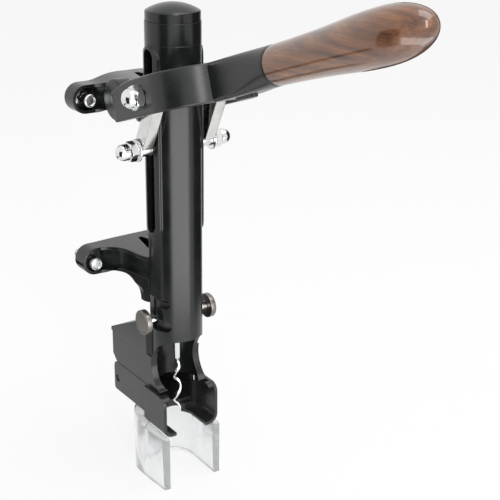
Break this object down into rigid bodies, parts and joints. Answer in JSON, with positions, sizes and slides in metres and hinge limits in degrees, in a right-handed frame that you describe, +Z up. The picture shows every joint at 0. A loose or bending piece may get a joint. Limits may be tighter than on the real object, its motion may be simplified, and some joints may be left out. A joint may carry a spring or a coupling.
{
  "type": "wall board corkscrew",
  "caption": "Lever corkscrew for a wall board: slotted tube on winged brackets, forked lever with wooden grip, linked crosshead and worm, latched nut, bottle clamp with clear guard.",
  "frame": {"origin": "centre of the rectangle of wall studs, on the plane of the bracket pads' back faces", "axes": "+Y into the board, +Z up along the tube, +X to the right seen from the front; the handle points to -Y"},
  "size_m": [0.108, 0.3266, 0.4004],
  "materials": {
    "black_enamel": "satin stoved black enamel",
    "lever_enamel": "satin black enamel",
    "chrome": "polished chrome",
    "plated_steel": "bright zinc plate",
    "machined_steel": "machined steel",
    "gunmetal": "satin dark nickel",
    "brass": "machined brass",
    "walnut": "clear gloss lacquer",
    "clear_plastic": "clear polished"
  },
  "bodies": {
    "base": {"body_casting": "black_enamel", "head_collar": "black_enamel", "top_cap": "black_enamel", "fulcrum_pins": "machined_steel", "fulcrum_washers": "plated_steel", "spring_seat_ring": "machined_steel", "guide_bush": "machined_steel", "wall_studs": "plated_steel", "wall_washers": "plated_steel", "wall_lock_nuts": "plated_steel", "clamp_pivot_pin": "machined_steel", "clamp_spring": "machined_steel", "carrier_spring": "machined_steel"},
    "lever": {"lever_yoke": "lever_enamel", "handle_grip": "walnut", "handle_tang": "machined_steel", "arm_pivot_studs": "machined_steel", "arm_acorn_nuts": "chrome"},
    "crosshead_group": {"crosshead": "machined_steel", "cross_pin": "machined_steel", "cross_pin_sleeves": "plated_steel", "cross_pin_washers": "chrome", "cross_pin_acorn_nuts": "chrome", "spindle_thrust_washer": "brass", "spindle_retaining_nut": "machined_steel"},
    "worm": {"worm_spindle": "chrome", "worm_screw": "chrome"},
    "links": {"link_left": "plated_steel", "link_right": "plated_steel", "link_bushes": "machined_steel"},
    "latch": {"nut_carrier": "machined_steel", "drive_nut": "brass", "latch_pins": "chrome", "latch_knob_left": "gunmetal", "latch_knob_right": "gunmetal"},
    "clamp": {"clamp_frame": "black_enamel", "neck_jaw": "black_enamel", "bottle_guard": "clear_plastic", "guard_screws": "plated_steel"}
  },
  "joints": [
    {"name": "lever_hinge", "type": "hinge", "parent": "base", "child": "lever", "pos_m": [0, -0.043, 0.068], "axis": [-1, 0, 0], "range_deg": [-62, 24]},
    {"name": "crosshead_slide", "type": "slide", "parent": "base", "child": "crosshead_group", "axis": [0, 0, 1], "range_m": [-0.0474, 0.0185]},
    {"name": "worm_spin", "type": "hinge", "parent": "crosshead_group", "child": "worm", "pos_m": [0, -0.064, -0.139], "axis": [0, 0, 1], "range_deg": [-812, 318]},
    {"name": "link_swing", "type": "hinge", "parent": "crosshead_group", "child": "links", "pos_m": [0, -0.064, 0.0352], "axis": [1, 0, 0], "range_deg": [-3.3, 1.4]},
    {"name": "latch_slide", "type": "slide", "parent": "base", "child": "latch", "axis": [0, 0, 1], "range_m": [0, 0.012], "stiffness_N_per_m": 300, "springref_m": -0.012, "deforming": ["carrier_spring"]},
    {"name": "clamp_hinge", "type": "hinge", "parent": "base", "child": "clamp", "pos_m": [0, -0.0074, -0.1727], "axis": [1, 0, 0], "range_deg": [0, 8], "stiffness_Nm_per_rad": 0.6, "springref_deg": -28.65}
  ],
  "couplings": [
    {"joint": "crosshead_slide", "follows": "lever_hinge", "m_per_rad": 0.043545},
    {"joint": "worm_spin", "follows": "lever_hinge", "ratio": 13.029},
    {"joint": "link_swing", "follows": "lever_hinge", "ratio": 0.05}
  ]
}
